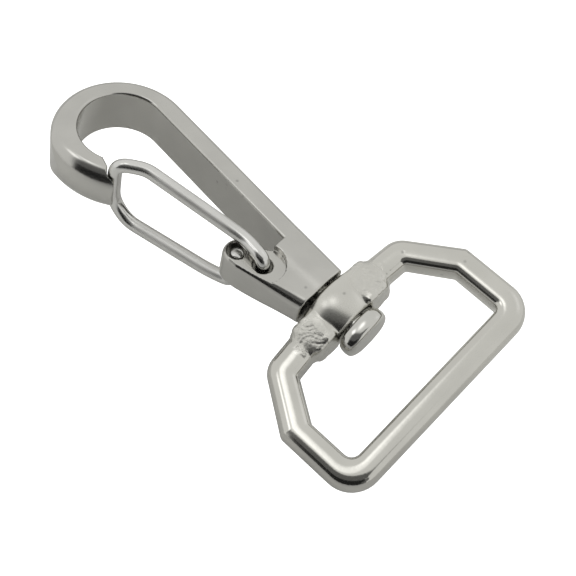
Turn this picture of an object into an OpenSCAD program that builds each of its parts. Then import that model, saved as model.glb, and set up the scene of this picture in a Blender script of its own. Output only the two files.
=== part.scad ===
// Swivel strap snap hook with a sprung wire gate.
// X runs along the swivel axis towards the hook, Z is square to the hook's own plane,
// and the origin is the middle of the strap bar's inner face, on the swivel axis.

/* [Hook] */
// Thickness of the cast hook, square to its own plane
hook_thick = 7.2; // [6:0.1:9]
// Inner radius of the hook bowl
bowl_r = 6.0; // [5:0.1:8]
// Distance from the swivel joint to the centre of the bowl
bowl_x = 35.6; // [32:0.1:40]
// Width of the spine, in the hook's plane
spine_w = 2.95; // [2.5:0.05:3.5]
// Radius of the outside curve of the hook
crown_r = 9.55; // [9:0.05:11]
// Slope of the spine away from the swivel axis
spine_slope = 5.4; // [3:0.1:8]

/* [Gate] */
// Diameter of the gate wire
wire_d = 1.9; // [1.6:0.1:2.4]
// Diameter of the two gate holes in the lug
gate_hole_d = 2.66; // [2.4:0.02:3]
// Thickness of the lug that carries the gate
lug_thick = 4.8; // [4:0.1:6]
// Width of the gate at the nose, centre to centre of the legs
gate_span = 9.4; // [9:0.1:10.5]

/* [Strap eye] */
// Clear width of the slot for the webbing
slot_w = 26.3; // [20:0.1:32]
// Thickness of the eye's bar and sides
bar_t = 3.9; // [3:0.1:5]
// Width of the strap bar, along the swivel axis
bar_w = 3.6; // [3:0.1:5]
// Distance from the swivel joint to the middle of the strap bar
bar_x = 19.35; // [16:0.05:24]
// Turn of the eye about the swivel axis at rest
eye_roll = 22; // [0:1:90]

/* [Swivel] */
// Diameter of the swivel rivet
rivet_d = 3.6; // [3:0.1:4.5]
// Running clearance on the radius between the rivet and the eye
rivet_gap = 0.06; // [0.02:0.01:0.1]
// Length of the eye's collar along the swivel axis
collar_len = 5.3; // [4:0.1:7]
// Width of the rivet's oblong head
head_w = 7.1; // [6:0.1:8]

/* [Hidden] */
$fn = 72;

half = hook_thick / 2;
// Distance from the origin to the swivel joint, the narrow gap between the body and the collar
joint_x = bar_x - bar_w / 2;
crown_c = [bowl_x - 0.67, 3.4];
bowl_c = [bowl_x, 2.8];
edge_r = 1.0;
lip = 0.4;
lug_half = lug_thick / 2;
slab_half = lug_half + 0.3;
side_angle = 13.5;
side_y = 4.5;
body_y = 3.0;
body_start = 0.3;
body_len = 8.6;
slab_r = 1.2;
// Gate pivots in the lug: the near leg turns in the first, the far leg in the second
pivot_near = [7.7, 3.9];
pivot_far = [11.5, 4.9];
far_seat = 0.18;
nose_seat = [30.6, 8.6];
wire_r = wire_d / 2;
groove_gap = 0.15;
lug_end_r = 2.05;
face_gap = 0.25;
collar_half_h = 3.2;
collar_half_w = 4.6;
head_half_h = 2.4;
head_len = 2.3;
rivet_depth = 6;
half_w = slot_w / 2 + bar_t / 2;
bar_round = 1.3;
root_half_h = 2.3;
root_end = 6.45;
head_roll = 28;

steel = [0.74, 0.74, 0.71];
cast_steel = [0.66, 0.66, 0.63];
wire_steel = [0.80, 0.80, 0.78];

// ---------- Small helpers ----------

function unit(v) = v / norm(v);

// Points that turn the corner at b, starting and ending r away from it
function turn(a, b, c, r) = let (p = b + unit(a - b) * r, q = b + unit(c - b) * r)
    [for (t = [0 : 0.2 : 1]) p * pow(1 - t, 2) + b * 2 * t * (1 - t) + q * pow(t, 2)];

// Straight end of the wire, from a ball at p to a flat face at q
module wire_end(p, q, r) {
    v = q - p;
    translate(p) {
        sphere(r = r, $fn = 24);
        rotate([0, acos(v[2] / norm(v)), atan2(v[1], v[0])])
            cylinder(r = r, h = norm(v), $fn = 24);
    }
}

// Round wire swept along a path, with flat ends
module wire(path, r) {
    last = len(path) - 1;
    hull()
        wire_end(path[1], path[0], r);
    for (i = [1 : last - 2])
        hull() {
            translate(path[i])
                sphere(r = r, $fn = 24);
            translate(path[i + 1])
                sphere(r = r, $fn = 24);
        }
    hull()
        wire_end(path[last - 1], path[last], r);
}

// Rectangle w by h centred on the origin, with all four corners rounded
module rounded_rect(w, h, r) {
    square([w - 2 * r, h], center = true);
    square([w, h - 2 * r], center = true);
    for (x = [-1, 1])
        for (y = [-1, 1])
            translate([x * (w / 2 - r), y * (h / 2 - r)])
                circle(r = r);
}

// Oblong boss along X from x0 to x1, with filleted ends
module oblong_boss(x0, x1, half_wide, half_high, fillet) {
    long = x1 - x0;
    flat = half_wide - half_high;
    translate([(x0 + x1) / 2, 0, 0]) {
        for (s = [-1, 1])
            translate([0, s * flat, 0])
                rotate([0, 90, 0])
                    rotate_extrude()
                        intersection() {
                            rounded_rect(2 * half_high, long, fillet);
                            translate([0, -long])
                                square([half_high + 1, 2 * long]);
                        }
        rotate([90, 0, 0])
            linear_extrude(height = 2 * flat, center = true)
                rounded_rect(long, 2 * half_high, fillet);
    }
}

// ---------- Hook body ----------

// Ring of the bowl in plan, with an outside curve that grows thicker to the nose
module bowl_plan() {
    difference() {
        translate(crown_c)
            circle(r = crown_r, $fn = 120);
        // Open side between the spine and the nose
        polygon([
            [bowl_x - 0.57, 2.6],
            [bowl_x - 0.57, -12],
            [20, -12],
            [20, 20],
            [nose_seat[0] - 1.2, 20],
            [nose_seat[0] - 1.2, nose_seat[1] + 1.15],
            [nose_seat[0] + 0.8, nose_seat[1] + 0.4],
            [bowl_x - 1.7, 8.1]
        ]);
    }
}

// Inside of the bowl, opening out at both faces
module bowl_hole() {
    translate(bowl_c)
        rotate_extrude($fn = 120)
            polygon([
                [0, -half - 2],
                [bowl_r + lip + 2, -half - 2],
                [bowl_r, -half + lip],
                [bowl_r, half - lip],
                [bowl_r + lip + 2, half + 2],
                [0, half + 2]
            ]);
}

// Envelope that rounds the outer edges of the ring
module crown_envelope() {
    translate(crown_c)
        rotate_extrude($fn = 120)
            intersection() {
                rounded_rect(2 * crown_r, hook_thick, edge_r);
                translate([0, -hook_thick])
                    square([20, 2 * hook_thick]);
            }
}

// Envelope that makes the nose full and round while the spine side stays flat
module nose_envelope() {
    translate([bowl_x + 1.3, 0.35])
        rotate_extrude($fn = 120) {
            translate([0, -half])
                square([8.1, hook_thick]);
            translate([8.1, 0])
                circle(r = 4.2);
        }
}

module bowl_and_nose() {
    difference() {
        intersection() {
            linear_extrude(height = hook_thick, center = true)
                bowl_plan();
            crown_envelope();
            nose_envelope();
        }
        bowl_hole();
    }
}

// Section of the spine: rounded outside, chamfered inside
module spine_section() {
    for (s = [-1, 1])
        translate([-spine_w / 2 + edge_r, s * (half - edge_r)])
            circle(r = edge_r);
    translate([-spine_w / 2, -half + edge_r])
        square([edge_r, hook_thick - 2 * edge_r]);
    polygon([
        [-spine_w / 2 + edge_r, -half],
        [spine_w / 2 - lip, -half],
        [spine_w / 2, -half + lip],
        [spine_w / 2, half - lip],
        [spine_w / 2 - lip, half],
        [-spine_w / 2 + edge_r, half]
    ]);
}

// Straight spine between the bowl and the body
module spine() {
    reach = 36;
    translate([bowl_c[0] - bowl_r * sin(spine_slope), bowl_c[1] - bowl_r * cos(spine_slope), 0])
        rotate([0, 0, -spine_slope])
            translate([0.5, -spine_w / 2, 0])
                rotate([90, 0, -90])
                    linear_extrude(height = reach)
                        mirror([1, 0])
                            spine_section();
}

// Section of the body across the swivel axis: thick on the spine side, thinner at the lug
module body_section() {
    low = body_y - edge_r;
    for (s = [-1, 1])
        translate([-low, s * (half - edge_r)])
            circle(r = edge_r);
    translate([-body_y, -(half - edge_r)])
        square([edge_r, hook_thick - 2 * edge_r]);
    polygon([
        [-low, -half],
        [0.2, -half],
        [3.1, -half + 1.2],
        [3.1, half - 1.2],
        [0.2, half],
        [-low, half]
    ]);
}

// Side wall of the body and lug, with rounded edges
module slab_edge() {
    translate([0, side_y, 0])
        rotate([0, 0, side_angle])
            translate([-3, 0, 0])
                rotate([90, 0, 90])
                    linear_extrude(height = 14.6)
                        translate([-3.1, 0])
                            rounded_rect(6.2, 2 * slab_half, slab_r);
}

module lug_end() {
    translate([pivot_far[0] - 0.1, pivot_far[1] - 0.1, 0])
        rotate_extrude()
            intersection() {
                rounded_rect(2 * lug_end_r, 2 * slab_half, slab_r);
                translate([0, -slab_half])
                    square([lug_end_r + 1, 2 * slab_half]);
            }
}

// Plate on the gate's side that ends in the lug, open at the throat beside the spine
module slab() {
    difference() {
        union() {
            slab_edge();
            lug_end();
        }
        linear_extrude(height = 12, center = true)
            polygon([
                [body_len, -6],
                [body_len, 1.6],
                [pivot_far[0] - 0.1, 2.9],
                [18, 2.9],
                [18, -6]
            ]);
    }
}

module spot_faces() {
    // Flat round seats for the wire about the near pivot, cut on both faces
    for (s = [-1, 1])
        translate([pivot_near[0], pivot_near[1], s * (lug_half + 2)])
            cylinder(r = 3.0, h = 4, center = true);
    // The lug beyond the seats is at the same level
    for (s = [-1, 1])
        translate([pivot_far[0], pivot_far[1], s * (lug_half + 2)])
            cube([6, 6, 4], center = true);
}

module hook_body() {
    color(cast_steel)
        translate([joint_x, 0, 0])
        difference() {
            union() {
                bowl_and_nose();
                intersection() {
                    union() {
                        spine();
                        rotate([90, 0, 90])
                            linear_extrude(height = body_len)
                                body_section();
                        slab();
                    }
                    translate([body_start, -15, -10])
                        cube([60, 30, 20]);
                }
            }
            spot_faces();
            // Throat between the spine and the lug
            translate([body_len + 0.3, 0.45, 0])
                cylinder(r = 1.0, h = 20, center = true);
            translate([pivot_near[0], pivot_near[1], 0])
                cylinder(d = gate_hole_d, h = 20, center = true);
            translate([pivot_far[0], pivot_far[1], 0])
                cylinder(d = gate_hole_d, h = 20, center = true);
            // Blind hole for the swivel rivet
            translate([-1, 0, 0])
                rotate([0, 90, 0])
                    cylinder(d = rivet_d, h = rivet_depth + 1);
            // Groove in the nose for the gate's cross wire
            translate([nose_seat[0], nose_seat[1], 0])
                cylinder(r = wire_r + groove_gap, h = 20, center = true);
        }
}

// ---------- Swivel ----------

module swivel_rivet() {
    color(steel) translate([joint_x, 0, 0]) {
        translate([-(face_gap + collar_len + face_gap + 0.2), 0, 0])
            rotate([0, 90, 0])
                cylinder(d = rivet_d, h = rivet_depth + 2 * face_gap + 0.2 + collar_len);
        rotate([-head_roll, 0, 0])
            oblong_boss(-(2 * face_gap + collar_len + head_len),
                -(2 * face_gap + collar_len), head_w / 2, head_half_h, 0.7);
    }
}

// ---------- Strap eye ----------

// Corner points of the eye's middle line, from the collar round to the collar
eye_out = [[-2.35, 3.4], [-3.3, 10.9], [-9.95, half_w], [-bar_x, half_w]];
eye_back = [[-bar_x, -half_w], [-9.95, -half_w], [-3.3, -10.9], [-2.35, -3.4]];
eye_line = concat(eye_out, eye_back);

// One straight member of the eye, with a rounded knuckle at its far corner
module eye_member(i) {
    v = eye_line[i + 1] - eye_line[i];
    translate(eye_line[i])
        rotate([0, 0, atan2(v[1], v[0])])
            rotate([90, 0, 90])
                linear_extrude(height = norm(v))
                    rounded_rect(i == 3 ? bar_w : bar_t, bar_t, bar_round);
    if (i < len(eye_line) - 2)
        translate(eye_line[i + 1])
            rotate_extrude()
                intersection() {
                    rounded_rect(bar_t + 0.24, bar_t + 0.06, bar_round);
                    translate([0, -bar_t])
                        square([bar_t, 2 * bar_t]);
                }
}

module strap_eye() {
    color(steel)
        translate([joint_x, 0, 0])
        rotate([-eye_roll, 0, 0])
            difference() {
                union() {
                    for (i = [0 : len(eye_line) - 2])
                        eye_member(i);
                    oblong_boss(-(face_gap + collar_len), -face_gap,
                        collar_half_w, collar_half_h, 0.6);
                    // Thick roots of the two arms
                    for (s = [-1, 1])
                        translate([-(face_gap + collar_len / 2), s * (root_end - 1.7), 0])
                            rotate([90, 0, 0])
                                linear_extrude(height = 3.4, center = true)
                                    rounded_rect(collar_len - 0.14, 2 * root_half_h, 0.7);
                }
                translate([-15, 0, 0])
                    rotate([0, 90, 0])
                        cylinder(r = rivet_d / 2 + rivet_gap, h = 20);
            }
}

// ---------- Gate: one bent wire, drawn as two halves that meet in the nose groove ----------

leg_z = lug_half + wire_r + 0.15;
near_line = [
    [pivot_near[0], pivot_near[1], -lug_half + 0.2],
    [pivot_near[0], pivot_near[1], leg_z],
    [11.6, 3.5, leg_z + 0.25],
    [27.3, 6.2, gate_span / 2 + 0.05],
    [nose_seat[0], nose_seat[1], gate_span / 2],
    [nose_seat[0], nose_seat[1], 0]
];
far_line = [
    [pivot_far[0] - far_seat, pivot_far[1], lug_half - 0.2],
    [pivot_far[0] - far_seat, pivot_far[1], -leg_z - 0.5],
    [15.0, 5.9, -leg_z - 0.8],
    [27.9, 8.2, -gate_span / 2 - 0.25],
    [nose_seat[0], nose_seat[1], -gate_span / 2 + 2.1],
    [nose_seat[0], nose_seat[1], 0]
];

function bent(line) = concat(
    [line[0]],
    turn(line[0], line[1], line[2], 1.1),
    [line[2], line[3]],
    turn(line[3], line[4], line[5], 1.5),
    [line[5]]);

module gate_half(line) {
    color(wire_steel)
        translate([joint_x, 0, 0])
        wire(bent(line), wire_r);
}

module gate_near_leg() {
    gate_half(near_line);
}

module gate_far_leg() {
    gate_half(far_line);
}

hook_body();
swivel_rivet();
strap_eye();
gate_near_leg();
gate_far_leg();
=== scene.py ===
import math

import bpy
import numpy as np
from mathutils import Matrix, Vector


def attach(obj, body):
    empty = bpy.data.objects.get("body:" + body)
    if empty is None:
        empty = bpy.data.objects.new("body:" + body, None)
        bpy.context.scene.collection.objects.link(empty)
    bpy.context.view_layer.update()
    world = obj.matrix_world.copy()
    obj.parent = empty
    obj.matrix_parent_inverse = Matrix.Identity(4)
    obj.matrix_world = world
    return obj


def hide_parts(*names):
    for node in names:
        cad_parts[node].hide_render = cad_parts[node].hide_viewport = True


MM = 0.001
JOINT_X = 17.55             # the frame starts at the strap bar's inner face, this far from the swivel joint
EYE_TURN = -22              # how the strap eye stands on its swivel at rest, in degrees

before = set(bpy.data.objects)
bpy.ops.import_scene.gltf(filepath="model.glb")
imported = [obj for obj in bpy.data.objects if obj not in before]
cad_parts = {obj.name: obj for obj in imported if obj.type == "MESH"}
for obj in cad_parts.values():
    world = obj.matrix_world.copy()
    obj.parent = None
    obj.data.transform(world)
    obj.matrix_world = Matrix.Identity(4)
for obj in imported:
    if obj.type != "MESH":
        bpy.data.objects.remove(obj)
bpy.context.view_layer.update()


# ---------------------------------------------------------------- implicit shapes, in millimetres

def hypot(*parts):
    """Length of the vector with these parts."""
    return np.sqrt(sum(p * p for p in parts))


def rmax(a, b, r):
    """Intersection of a and b with their shared edge rounded to radius r."""
    return np.minimum(np.maximum(a, b), -r) + hypot(np.maximum(a + r, 0), np.maximum(b + r, 0))


def rmin(a, b, r):
    """Union of a and b with a fillet of radius r between them."""
    return -rmax(-a, -b, r)


def cmax(a, b, c):
    """Intersection of a and b with their shared edge chamfered by c."""
    return np.maximum(np.maximum(a, b), (a + b + c) * 0.7071)


def step(e0, e1, x):
    """Smooth rise from 0 at e0 to 1 at e1."""
    t = np.clip((x - e0) / (e1 - e0), 0, 1)
    return t * t * (3 - 2 * t)


def outline(corners, n=10):
    """Closed outline from (x, y, radius) corners, each one turned on its own arc."""
    pts = []
    for i, (x, y, r) in enumerate(corners):
        b = np.array([x, y], float)
        a = np.array(corners[i - 1][:2], float)
        c = np.array(corners[(i + 1) % len(corners)][:2], float)
        u, v = (a - b) / np.linalg.norm(a - b), (c - b) / np.linalg.norm(c - b)
        if r <= 0:
            pts.append(b)
            continue
        half = math.acos(max(-1, min(1, float(u @ v)))) / 2
        set_back = r / math.tan(half)
        centre = b + (u + v) / np.linalg.norm(u + v) * (r / math.sin(half))
        p, q = b + u * set_back - centre, b + v * set_back - centre
        a0, a1 = math.atan2(p[1], p[0]), math.atan2(q[1], q[0])
        turn = (a1 - a0 + math.pi) % (2 * math.pi) - math.pi
        for k in range(n + 1):
            t = a0 + turn * k / n
            pts.append(centre + r * np.array([math.cos(t), math.sin(t)]))
    return np.array(pts)


def polygon(x, y, pts):
    """Signed distance in the plane to a closed outline, negative inside it."""
    shape = np.broadcast(x, y).shape
    x, y = np.broadcast_to(x, shape), np.broadcast_to(y, shape)
    best, inside = np.full(shape, 1e9), np.zeros(shape, bool)
    for i in range(len(pts)):
        ax, ay = pts[i - 1]
        bx, by = pts[i]
        ex, ey = bx - ax, by - ay
        t = np.clip(((x - ax) * ex + (y - ay) * ey) / max(ex * ex + ey * ey, 1e-12), 0, 1)
        best = np.minimum(best, (x - ax - ex * t) ** 2 + (y - ay - ey * t) ** 2)
        if ay != by:
            inside ^= ((ay > y) != (by > y)) & (x < (y - ay) * ex / ey + ax)
    return np.where(inside, -1, 1) * np.sqrt(best)


def surface(field, lo, hi, h):
    """Closed mesh of field = 0, with its vertices moved onto the exact surface, and its normals."""
    ax = [np.arange(a, b + h, h) for a, b in zip(lo, hi)]
    v = field(ax[0][:, None, None], ax[1][None, :, None], ax[2][None, None, :]) + 1e-7
    v = np.broadcast_to(v, [len(a) for a in ax])
    n = np.array(v.shape) - 1
    acc, cnt, edges = np.zeros((*n, 3), np.float32), np.zeros(n, np.int8), []
    for d in range(3):
        e = (d + 1) % 3, (d + 2) % 3
        low = [slice(None)] * 3
        high = [slice(None)] * 3
        low[d], high[d] = slice(0, -1), slice(1, None)
        a, b = v[tuple(low)], v[tuple(high)]
        i = np.argwhere((a < 0) != (b < 0))
        at = tuple(i.T)
        p = i.astype(np.float32)
        p[:, d] += a[at] / (a[at] - b[at])
        keep = np.all([(i[:, k] > 0) & (i[:, k] < n[k]) for k in e], axis=0)
        i, p, up = i[keep], p[keep], (a[at] < 0)[keep]
        ring = []
        for s, t in ((0, 0), (1, 0), (1, 1), (0, 1)):
            c = i.copy()
            c[:, e[0]] -= 1 - s
            c[:, e[1]] -= 1 - t
            ring.append(c)
            np.add.at(acc, tuple(c.T), p)
            np.add.at(cnt, tuple(c.T), 1)
        edges.append((np.stack(ring, 1), up))
    ids = np.full(n, -1, np.int64)
    used = cnt > 0
    ids[used] = np.arange(used.sum())
    verts = acc[used] / cnt[used][:, None] * h + np.array(lo, np.float32)
    faces = []
    for ring, up in edges:
        q = ids[tuple(np.moveaxis(ring, -1, 0))]
        faces.append(np.where(up[:, None], q, q[:, ::-1]))
    verts = verts.astype(float)

    def value(p):
        return field(p[:, 0], p[:, 1], p[:, 2])

    def slope(p, e):
        g = []
        for k in range(3):
            s = np.zeros(3)
            s[k] = e
            g.append((value(p + s) - value(p - s)) / (2 * e))
        return np.stack(g, 1)

    for _ in range(3):
        g = slope(verts, 0.02)
        move = (value(verts) / np.maximum((g * g).sum(1), 0.2))[:, None] * g
        size = np.linalg.norm(move, axis=1, keepdims=True)
        verts -= move * np.minimum(1, 0.4 * h / np.maximum(size, 1e-9))
    normals = slope(verts, 0.05)
    normals /= np.maximum(np.linalg.norm(normals, axis=1, keepdims=True), 1e-9)
    return verts, np.concatenate(faces), normals


def piece(name, verts, faces, normals):
    """Smooth object from a mesh in millimetres, measured from the swivel joint."""
    mesh = bpy.data.meshes.new(name)
    points = (np.asarray(verts) + (JOINT_X, 0, 0)) * MM
    mesh.from_pydata(points.tolist(), [], [list(map(int, f)) for f in faces])
    mesh.shade_smooth()
    mesh.update()
    mesh.normals_split_custom_set_from_vertices(normals.tolist())
    obj = bpy.data.objects.new(name, mesh)
    bpy.context.scene.collection.objects.link(obj)
    return obj


def rolled(verts, degrees):
    """Vertices turned about the swivel axis."""
    a = math.radians(degrees)
    out = np.array(verts, float)
    out[:, 1] = verts[:, 1] * math.cos(a) - verts[:, 2] * math.sin(a)
    out[:, 2] = verts[:, 1] * math.sin(a) + verts[:, 2] * math.cos(a)
    return out


# ---------------------------------------------------------------- the hook body

HALF = 3.6                                  # half of the hook's thickness
CROWN, CROWN_R = (34.93, 3.38), 9.53        # outside of the ring
BOWL, BOWL_R = (35.6, 2.8), 6.0             # inside of the ring
NOSE, NOSE_R = (36.9, 0.35), 9.6            # the nose's rounded back is turned about this centre
NEAR_HOLE, FAR_HOLE, HOLE_R = (7.7, 3.9), (11.5, 4.9), 1.33
LUG_SEAT_R, LUG_SEAT_Z = 3.0, 2.4           # flat round seat about the near hole
SEAT, SEAT_R = (30.6, 8.6), 1.12            # gate wire's seat in the nose
SHANK_R, SHANK_BORE_R, SHANK_END = 1.8, 1.83, 6.0
SPINE_OUT = outline([(33.98, -6.107, 0), (4, -3.27, 0), (4, 5, 0), (35, 5, 0)])
VOID = outline([(35.035, -3.173, 0), (4, -0.24, 0), (4, 20, 0), (29.4, 20, 0), (29.4, 9.75, 0.2),
                (31.4, 9.0, 0.3), (33.9, 8.1, 0), (36.0, 2.6, 0)])
BODY = outline([(-3, -2.704, 0), (8.6, -3.705, 0), (8.6, 1.5, 0.25), (10.4, 2.55, 0.6),
                (13.55, 3.1, 1.75), (13.1, 6.9, 2.1), (9.8, 6.74, 3), (-3, 3.913, 0)])


def hook_field(x, y, z):
    az = np.abs(z)
    # ring and spine
    fill = np.minimum(hypot(x - CROWN[0], y - CROWN[1]) - CROWN_R, polygon(x, y, SPINE_OUT))
    void = np.minimum(hypot(x - BOWL[0], y - BOWL[1]) - BOWL_R, polygon(x, y, VOID))
    ring = np.maximum(rmax(fill, az - HALF, 1.05), rmax(-void, az - HALF, 0.45))
    # the nose's back is full and round, and meets the flat face at a soft ridge
    rho = np.maximum(hypot(x - NOSE[0], y - NOSE[1]) - NOSE_R, 0)
    back = (hypot(rho / 2.7, az / 3.76) - 1) * 2.9
    ring = np.where(y > 1, rmax(ring, back, 0.06), ring)
    # body and lug, thick on the spine side and thinner under the gate
    top = HALF - 0.95 * step(-0.6, 3.2, y)
    side = step(0.5, 3.0, y)
    edge = 1.0 + side * (0.75 - 0.75 * step(1.0, 8.5, x))
    # the end of the gap between the spine and the lug has a sharp edge
    throat = step(7.4, 8.4, x) * (1 - step(1.2, 2.6, y)) * step(-2.4, -0.8, y)
    edge = 0.3 + (edge - 0.3) * (1 - throat)
    body = rmax(rmax(polygon(x, y, BODY), az - top, edge), 0.2 - x, 0.2)
    seat = hypot(x - NEAR_HOLE[0], y - NEAR_HOLE[1]) - LUG_SEAT_R
    seat = np.minimum(seat, np.maximum(9.0 - x, 1.0 - y))
    body = np.maximum(body, -np.maximum(seat, LUG_SEAT_Z - az))
    solid = np.minimum(ring, body)
    # holes for the gate, the rivet and the wire's seat
    for cx, cy in (NEAR_HOLE, FAR_HOLE):
        hole = hypot(x - cx, y - cy) - HOLE_R
        solid = cmax(solid, -hole, 0.12)
    bore = np.maximum(hypot(y, z) - SHANK_BORE_R, x - SHANK_END)
    solid = np.maximum(solid, -bore)
    return rmax(solid, -(hypot(x - SEAT[0], y - SEAT[1]) - SEAT_R), 0.1)


coarse = 0.0
hook_mesh = surface(hook_field, (-0.6, -7.2, -4.2), (45.6, 14.4, 4.2), max(0.155, coarse))
hook = piece("hook_casting", *hook_mesh)
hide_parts("hook_body")
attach(hook, "hook")


# ---------------------------------------------------------------- the swivel rivet

HEAD_TURN = 28              # how the oblong head stands on the axis, in degrees
HEAD_BACK, HEAD_FRONT = -8.1, -5.8


def rivet_field(x, y, z):
    shank = np.maximum(hypot(y, z) - SHANK_R, np.maximum(x - SHANK_END, -6.2 - x))
    # oblong, slightly barrelled head, turned about the shank
    a = math.radians(HEAD_TURN)
    v, w = y * math.cos(a) - z * math.sin(a), y * math.sin(a) + z * math.cos(a)
    oblong = ((np.abs(v / 3.55) ** 2.4 + np.abs(w / 2.42) ** 2.4) ** (1 / 2.4) - 1) * 2.4
    oblong = oblong + 0.2 * ((x + 6.95) / 1.15) ** 2
    head = rmax(rmax(oblong, HEAD_BACK - x, 0.6), x - HEAD_FRONT, 0.3)
    return np.minimum(shank, head)


rivet_mesh = surface(rivet_field, (-8.6, -4.2, -4.2), (6.5, 4.2, 4.2), max(0.11, coarse))
rivet = piece("rivet", *rivet_mesh)
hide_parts("swivel_rivet")
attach(rivet, "hook")


# ---------------------------------------------------------------- the strap eye

EYE_HALF = 1.98             # half of the bars' thickness
EYE_BORE_R = 1.86
EYE_OUT = outline([(-0.35, 0, 0), (-0.38, 3.6, 0), (-1.1, 11.95, 3.2), (-8.95, 17.1, 1.0),
                   (-21.36, 17.12, 4.3), (-21.36, -17.05, 4.2), (-9.3, -17.0, 1.0),
                   (-1.4, -11.85, 3.2), (-0.38, -3.6, 0)])
EYE_IN = outline([(-4.3, 0, 0), (-5.2, 9.8, 0.3), (-10.6, 13.15, 0.3), (-17.55, 13.15, 1.3),
                  (-17.55, -13.15, 0.6), (-10.6, -13.15, 0.3), (-5.2, -9.8, 0.3)])


def eye_field(x, y, z):
    az = np.abs(z)
    out, hole = polygon(x, y, EYE_OUT), polygon(x, y, EYE_IN)
    # section of the bars: round on the outside, squarer on the inside
    across = -(out + hole) / (hole - out)
    power = np.where(across > 0, 3.0, 2.3)
    bar = ((np.abs(across) ** power + (az / EYE_HALF) ** power) ** (1 / power) - 1) * 1.95
    # barrel-shaped collar
    swell = (hypot((y + 0.25) / 4.7, z / 3.3) - 1) * 3.2 + 0.5 * ((x + 2.2) / 2.65) ** 2
    boss = rmax(swell, np.abs(x + 2.8) - 2.7, 0.4)
    # thick roots of the arms
    ay = np.abs(y)
    near = 0.5 - 0.5 * np.sign(y)       # the root on the -Y side is a little larger
    root = np.abs(x + 2.9 + 0.1 * near) - 2.45 - 0.25 * near
    root = rmax(root, az - 2.5 + 0.25 * np.maximum(ay - 4, 0), 0.6)
    root = rmax(root, np.abs(ay - 4.5 - 0.2 * near) - 1.75 - 0.1 * near, 0.5)
    solid = rmin(rmin(bar, root, 0.9), boss, 0.5)
    # rough, as cast, where the arms leave the collar
    wx, wy = x + 0.5 * np.sin(2.3 * y + 1.7 * z), y + 0.4 * np.sin(2.9 * x - 1.3 * z + 1)
    lump = np.sin(4.1 * wx + 2.3 * wy) * np.sin(3.3 * wy - 2.9 * z + 1)
    lump = lump + np.sin(5.3 * wx - 3.9 * wy + 2) * np.sin(4.9 * z + 2.1 * wx)
    rough = step(3.2, 4.6, ay) * (1 - step(6.4, 8.4, ay)) * step(-6.4, -5.4, x)
    solid = solid + 0.03 * lump * rough
    return np.maximum(solid, -np.maximum(hypot(y, z) - EYE_BORE_R, -8 - x))


verts, faces, normals = surface(eye_field, (-22.0, -17.6, -3.7), (0.3, 17.6, 3.7), max(0.15, coarse))
eye = piece("strap_ring", rolled(verts, EYE_TURN), faces, rolled(normals, EYE_TURN))
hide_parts("strap_eye")
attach(eye, "eye")


# ---------------------------------------------------------------- the gate wire

# rings that close a tube's end: distance from the end, share of the radius, lean of the normal along the tube
DOMED = ((0.0, 0.6, 0.95), (0.05, 0.86, 0.7), (0.16, 0.98, 0.25))
FLAT = ((0.0, 1.0, 0.0),)


def sweep(points, r, first=DOMED, last=DOMED, sides=28, pitch=0.28):
    """Tube along corners given as (x, y, z, bend set-back), closed at both ends, and its normals."""
    pts = [np.array(p[:3], float) for p in points]
    line = [pts[0]]
    for i in range(1, len(pts) - 1):
        a, b, c, s = pts[i - 1], pts[i], pts[i + 1], points[i][3]
        p = b + (a - b) / np.linalg.norm(a - b) * s
        q = b + (c - b) / np.linalg.norm(c - b) * s
        line += [p * (1 - t) ** 2 + b * 2 * t * (1 - t) + q * t * t for t in np.linspace(0, 1, 13)]
    line.append(pts[-1])
    line = np.array(line)
    along = np.concatenate([[0], np.cumsum(np.linalg.norm(np.diff(line, axis=0), axis=1))])
    want = np.linspace(0, along[-1], int(along[-1] / pitch) + 1)
    line = np.stack([np.interp(want, along, line[:, k]) for k in range(3)], 1)
    for _ in range(3):
        line[1:-1] = (line[:-2] + 2 * line[1:-1] + line[2:]) / 4
    tan = np.gradient(line, axis=0)
    tan /= np.linalg.norm(tan, axis=1, keepdims=True)
    u = np.cross(tan[0], [1.0, 0, 0])
    u /= np.linalg.norm(u)
    angle = np.arange(sides) * 2 * math.pi / sides
    verts, faces, normals = [], [], []
    rings = [(line[0] + tan[0] * d, tan[0], k, -lean) for d, k, lean in first]
    rings += [(p, t, 1.0, 0.0) for p, t in zip(line[1:-1], tan[1:-1])]
    rings += [(line[-1] - tan[-1] * d, tan[-1], k, lean) for d, k, lean in reversed(last)]
    for p, t, k, lean in rings:
        u = u - t * (u @ t)
        u /= np.linalg.norm(u)
        w = np.cross(t, u)
        out = [math.cos(a) * u + math.sin(a) * w for a in angle]
        verts += [p + r * k * o for o in out]
        normals += [o * math.sqrt(1 - lean * lean) + t * lean for o in out]
    for i in range(len(rings) - 1):
        for j in range(sides):
            k = (j + 1) % sides
            faces.append([i * sides + j, i * sides + k, (i + 1) * sides + k, (i + 1) * sides + j])
    verts += [rings[0][0], rings[-1][0]]
    normals += [-tan[0], tan[-1]]
    end = (len(rings) - 1) * sides
    for j in range(sides):
        k = (j + 1) % sides
        faces.append([len(verts) - 2, k, j])
        faces.append([len(verts) - 1, end + j, end + k])
    return np.array(verts), faces, np.array(normals)


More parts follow.
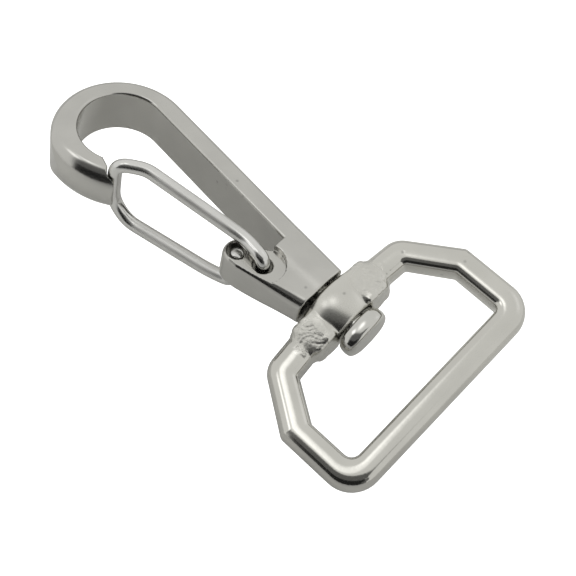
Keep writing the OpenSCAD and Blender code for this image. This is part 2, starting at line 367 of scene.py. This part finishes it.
WIRE_R, LEG_Z = 0.95, 3.5   # LEG_Z is the height of the legs' lower ends
SPLIT_Z, GAP = 0.6, 0.004   # the halves meet on the straight cross bar, which they turn about
near_path = [
    (7.7, 3.9, -2.2, 0), (7.7, 3.9, LEG_Z, 1.2), (11.6, 3.5, 3.7, 1.3), (27.3, 6.2, 4.76, 1.0),
    (*SEAT, 4.68, 1.9), (*SEAT, SPLIT_Z + GAP, 0),
]
far_path = [
    (*SEAT, SPLIT_Z, 0), (*SEAT, -2.6, 1.9), (27.9, 8.2, -4.95, 1.3), (15.0, 5.9, -4.33, 1.4),
    (11.32, 4.9, -LEG_Z - 0.5, 1.2), (11.32, 4.9, 2.2, 0),
]
wires = [piece("gate_wire_near", *sweep(near_path, WIRE_R, last=FLAT)),
         piece("gate_wire_far", *sweep(far_path, WIRE_R, first=FLAT))]
for wire, node, body in zip(wires, ("gate_near_leg", "gate_far_leg"), ("gate_near", "gate_far")):
    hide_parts(node)
    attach(wire, body)


# ---------------------------------------------------------------- materials

class Nodes:
    """Short way to put shader nodes together."""

    def __init__(self, name):
        self.mat = bpy.data.materials.new(name)
        self.mat.use_nodes = True
        self.tree = self.mat.node_tree
        self.shader = self.tree.nodes["Principled BSDF"]

    def add(self, kind, inputs=(), **props):
        """New node with these inputs, as values or sockets, and properties."""
        node = self.tree.nodes.new(kind)
        for k, v in props.items():
            setattr(node, k, v)
        for k, v in dict(inputs).items():
            self.link(v, node.inputs[k])
        return node

    def noise(self, scale, detail=2.0, rough=0.5):
        node = self.add("ShaderNodeTexNoise", {"Scale": scale, "Detail": detail, "Roughness": rough})
        self.link(self.coords(), node.inputs["Vector"])
        return node.outputs[0]

    def coords(self):
        """The part's own coordinates, in metres."""
        if not hasattr(self, "_coords"):
            self._coords = self.add("ShaderNodeTexCoord").outputs["Object"]
        return self._coords

    def away_from(self, spot):
        """Distance from spot, in metres."""
        node = self.add("ShaderNodeVectorMath", {0: self.coords(), 1: spot}, operation="DISTANCE")
        return node.outputs["Value"]

    def spread(self, value, a, b, lo, hi):
        """value from a to b becomes lo to hi."""
        node = self.add("ShaderNodeMapRange", {"From Min": a, "From Max": b, "To Min": lo, "To Max": hi})
        self.link(value, node.inputs["Value"])
        return node.outputs[0]

    def maths(self, op, a, b=0.0):
        """Maths node on two numbers or sockets."""
        node = self.add("ShaderNodeMath", operation=op)
        self.link(a, node.inputs[0])
        self.link(b, node.inputs[1])
        return node.outputs[0]

    def mix(self, share, a, b):
        """Colour between a and b; a colour Mix node has its sockets at 0, 6, 7 and 2."""
        node = self.add("ShaderNodeMix", data_type="RGBA")
        self.link(share, node.inputs[0])
        self.link(a, node.inputs[6])
        self.link(b, node.inputs[7])
        return node.outputs[2]

    def link(self, value, socket):
        if isinstance(value, bpy.types.NodeSocket):
            self.tree.links.new(value, socket)
        else:
            socket.default_value = value

    def bump(self, height, strength, distance, normal=None):
        node = self.add("ShaderNodeBump", {"Strength": strength, "Distance": distance})
        self.link(height, node.inputs["Height"])
        if normal:
            self.link(normal, node.inputs["Normal"])
        return node.outputs[0]


def steel(name, tint, rough, grain, pits=True, cast_at=(), satin_at=()):
    """Worked steel with fine grain; cast_at are rough spots, satin_at are duller zones."""
    m = Nodes(name)
    m.shader.inputs["Metallic"].default_value = 1.0
    cloud = m.noise(180, 3)
    fine = m.noise(1600, 3, 0.6)
    dark = tuple(c * 0.93 for c in tint)
    colour = m.mix(m.spread(cloud, 0.35, 0.65, 0, 1), (*dark, 1), (*tint, 1))
    mottle = m.maths("ADD", cloud, m.maths("MULTIPLY", fine, 0.6))
    roughness = m.spread(mottle, 0.55, 1.05, rough * 0.85, rough * 1.2)
    normal = m.bump(fine, grain, 0.00002)
    if pits:
        cells = m.add("ShaderNodeTexVoronoi", {"Scale": 420.0, "Randomness": 1.0})
        m.link(m.coords(), cells.inputs["Vector"])
        pit = m.spread(cells.outputs["Distance"], 0.04, 0.13, 0, 1)
        some = m.spread(m.noise(90, 1), 0.56, 0.62, 0, 1)
        depth = m.maths("MULTIPLY", m.maths("SUBTRACT", 1.0, pit), some)
        hollow = m.maths("SUBTRACT", 1.0, depth)
        colour = m.mix(m.spread(hollow, 0, 1, 0.45, 0), colour, (0.22, 0.22, 0.21, 1))
        normal = m.bump(hollow, 0.25, 0.00004, normal)
    for spot in cast_at:
        near = m.spread(m.away_from(spot), 0.0018, 0.0030, 1, 0)
        grit = m.maths("MULTIPLY", m.noise(1500, 4, 0.65), near)
        normal = m.bump(grit, 0.5, 0.00025, normal)
        roughness = m.maths("ADD", roughness, m.maths("MULTIPLY", near, 0.2))
    for spot, inner, outer, extra in satin_at:
        roughness = m.maths("ADD", roughness, m.spread(m.away_from(spot), inner, outer, extra, 0))
    m.link(colour, m.shader.inputs["Base Color"])
    m.link(roughness, m.shader.inputs["Roughness"])
    m.link(normal, m.shader.inputs["Normal"])
    return m.mat


# centres of the eye's two rough arm roots, on the side that is turned up
ROOTS = [tuple(rolled(np.array([[-2.9 + JOINT_X, s * 5.3, 1.2]]), EYE_TURN)[0] * MM) for s in (1, -1)]
COLLAR = ((JOINT_X - 2.8) * MM, 0, 0)
LEGS = ((JOINT_X + 19.8) * MM, 0.0055, 0)      # middle of the gate wire's straight legs
hook.data.materials.append(steel("cast_steel", (0.585, 0.577, 0.545), 0.17, 0.25))
rivet.data.materials.append(steel("rivet_steel", (0.64, 0.633, 0.60), 0.12, 0.1, pits=False))
eye.data.materials.append(steel("polished_steel", (0.66, 0.65, 0.605), 0.12, 0.2, cast_at=ROOTS,
                                satin_at=[(COLLAR, 0.0036, 0.0056, 0.14)]))
wire_steel = steel("wire_steel", (0.76, 0.755, 0.73), 0.2, 0.12, pits=False,
                   satin_at=[(LEGS, 0.0070, 0.0095, 0.24)])
for wire in wires:
    wire.data.materials.append(wire_steel)


# ---------------------------------------------------------------- floor, light and camera

def plane(name, centre, normal, width, height, material, up=(0, 0, 1)):
    """Flat stage surface that faces along normal."""
    n = Vector(normal).normalized()
    side = Vector(up).cross(n)
    side = side.normalized() if side.length > 1e-6 else Vector((1, 0, 0))
    top = n.cross(side)
    c = Vector(centre)
    corners = [c + side * sx * width / 2 + top * sy * height / 2
               for sx, sy in ((-1, -1), (1, -1), (1, 1), (-1, 1))]
    mesh = bpy.data.meshes.new(name)
    mesh.from_pydata([tuple(p) for p in corners], [], [(0, 1, 2, 3)])
    mesh.materials.append(material)
    obj = bpy.data.objects.new(name, mesh)
    bpy.context.scene.collection.objects.link(obj)
    return obj


def matte(name, colour, glow):
    """Plain matte surface; glow lifts the tone that it shows."""
    m = Nodes(name)
    m.shader.inputs["Base Color"].default_value = (*colour, 1)
    m.shader.inputs["Roughness"].default_value = 0.9
    m.shader.inputs["Emission Color"].default_value = (1, 1, 1, 1)
    m.shader.inputs["Emission Strength"].default_value = glow
    return m.mat


def only_for(obj, *rays):
    """Keep obj to these kinds of ray, as a studio flag or sweep out of shot."""
    for kind in ("camera", "diffuse", "glossy", "transmission", "volume_scatter", "shadow"):
        setattr(obj, "visible_" + kind, kind in rays)


def level(name, z, material, *rays):
    """Wide level surface at height z that only these kinds of ray see."""
    only_for(plane(name, (0, 0, z), (0, 0, 1), 3, 3, material, up=(0, 1, 0)), *rays)


lowest = min(min((o.matrix_world @ v.co).z for v in o.data.vertices) for o in (hook, rivet, eye, *wires))
TABLE_Z = lowest - 0.00052  # what the metal reflects, just under the part
FLOOR_Z = -0.020            # the strap eye clears this at every turn of the swivel
level("floor", FLOOR_Z, matte("floor_white", (0.94, 0.94, 0.94), 0.9), "camera")
level("table", TABLE_Z, matte("table_grey", (0.7, 0.7, 0.69), 0.0), "glossy", "diffuse")

world = bpy.data.worlds.new("studio")
bpy.context.scene.world = world
world.use_nodes = True
sky = world.node_tree.nodes["Background"]
sky.inputs["Color"].default_value = (1.0, 1.0, 0.985, 1)
sky.inputs["Strength"].default_value = 0.8

MIDDLE = Vector((12.0 + JOINT_X, 0, 0)) * MM       # the studio's cards and lamp stand round this point


def toward(azimuth, elevation):
    """Direction from the part, in degrees."""
    a, e = math.radians(azimuth), math.radians(elevation)
    return Vector((math.cos(a) * math.cos(e), math.sin(a) * math.cos(e), math.sin(e)))


def card(name, centre, facing, width, height, tone, soft):
    """Studio card with soft borders that only shows as a reflection in the metal."""
    m = Nodes(name)
    m.tree.nodes.remove(m.shader)
    split = m.add("ShaderNodeSeparateXYZ", {"Vector": m.add("ShaderNodeTexCoord").outputs["UV"]})
    fade = []
    for k in (0, 1):
        away = m.maths("ABSOLUTE", m.maths("SUBTRACT", split.outputs[k], 0.5))
        # the smooth limit also lets a little of the studio through the middle of the card
        fade.append(m.maths("SMOOTH_MIN", m.spread(away, 0.5 - soft / 2, 0.5, 1, 0), 1.0))
    glow = m.add("ShaderNodeEmission", {"Color": (1, 1, 1, 1), "Strength": tone})
    clear = m.add("ShaderNodeBsdfTransparent")
    share = m.maths("MULTIPLY", *fade)
    both = m.add("ShaderNodeMixShader", {0: share, 1: clear.outputs[0], 2: glow.outputs[0]})
    m.link(both.outputs[0], m.tree.nodes["Material Output"].inputs["Surface"])
    obj = plane(name, centre, facing, width, height, m.mat)
    corners = obj.data.uv_layers.new(name="card")
    for loop, uv in zip(corners.data, ((0, 0), (1, 0), (1, 1), (0, 1))):
        loop.uv = uv
    only_for(obj, "glossy")


def far_card(name, azimuth, elevation, half_wide, half_high, tone, soft):
    """Card on the studio's wall, sized by the half angles that it fills."""
    d, far = toward(azimuth, elevation), 0.9
    wide, high = (2 * far * math.tan(math.radians(a)) for a in (half_wide, half_high))
    card(name, MIDDLE + d * far, -d, wide, high, tone, soft)


# azimuth and elevation, half angles that it fills, tone, and share of it that fades out
far_card("dark_wall", 119, 5, 46, 30, 0.0, 0.08)
far_card("dark_canopy", 112, 28, 40, 37, 0.0, 0.16)
far_card("grey_wall", -45, 6, 45, 15, 0.5, 0.6)
far_card("side_glow", -112, 50, 24, 20, 0.98, 0.8)
far_card("window", 49, 66, 11, 9, 2.0, 0.8)
far_card("edge_light", 53, 47, 9, 8, 2.1, 0.7)
shade_at = MIDDLE + toward(130, 0) * 0.23 + Vector((0, 0, TABLE_Z + 0.0001))
card("floor_shade", shade_at, (0, 0, 1), 0.36, 0.4, 0.3, 0.4)


def soft_light(name, azimuth, elevation, distance, size, power):
    """Square lamp that lights the part but doesn't show in the metal."""
    data = bpy.data.lights.new(name, "AREA")
    data.size = size
    data.energy = power
    obj = bpy.data.objects.new(name, data)
    bpy.context.scene.collection.objects.link(obj)
    d = toward(azimuth, elevation)
    obj.location = MIDDLE + d * distance
    obj.rotation_euler = d.to_track_quat("Z", "Y").to_euler()
    obj.visible_glossy = False


soft_light("key_box", -112, 55, 0.6, 0.5, 0.6)

camera_data = bpy.data.cameras.new("camera")
camera_data.sensor_width, camera_data.lens = 36, 85.85
camera_data.clip_start = 0.01
camera = bpy.data.objects.new("camera", camera_data)
bpy.context.scene.collection.objects.link(camera)
back = Vector((-0.320, 0.510, 0.798)).normalized()      # from the part to the camera
right = Vector((-0.711, -0.686, 0.153))
right = (right - back * right.dot(back)).normalized()
up = back.cross(right)
turn = Matrix((right, up, back)).transposed().to_4x4()
place = Vector((-52.46 + JOINT_X, 92.56, 140.95)) * MM
camera.matrix_world = Matrix.Translation(place) @ turn
bpy.context.scene.camera = camera
bpy.context.scene.view_settings.view_transform = "Standard"
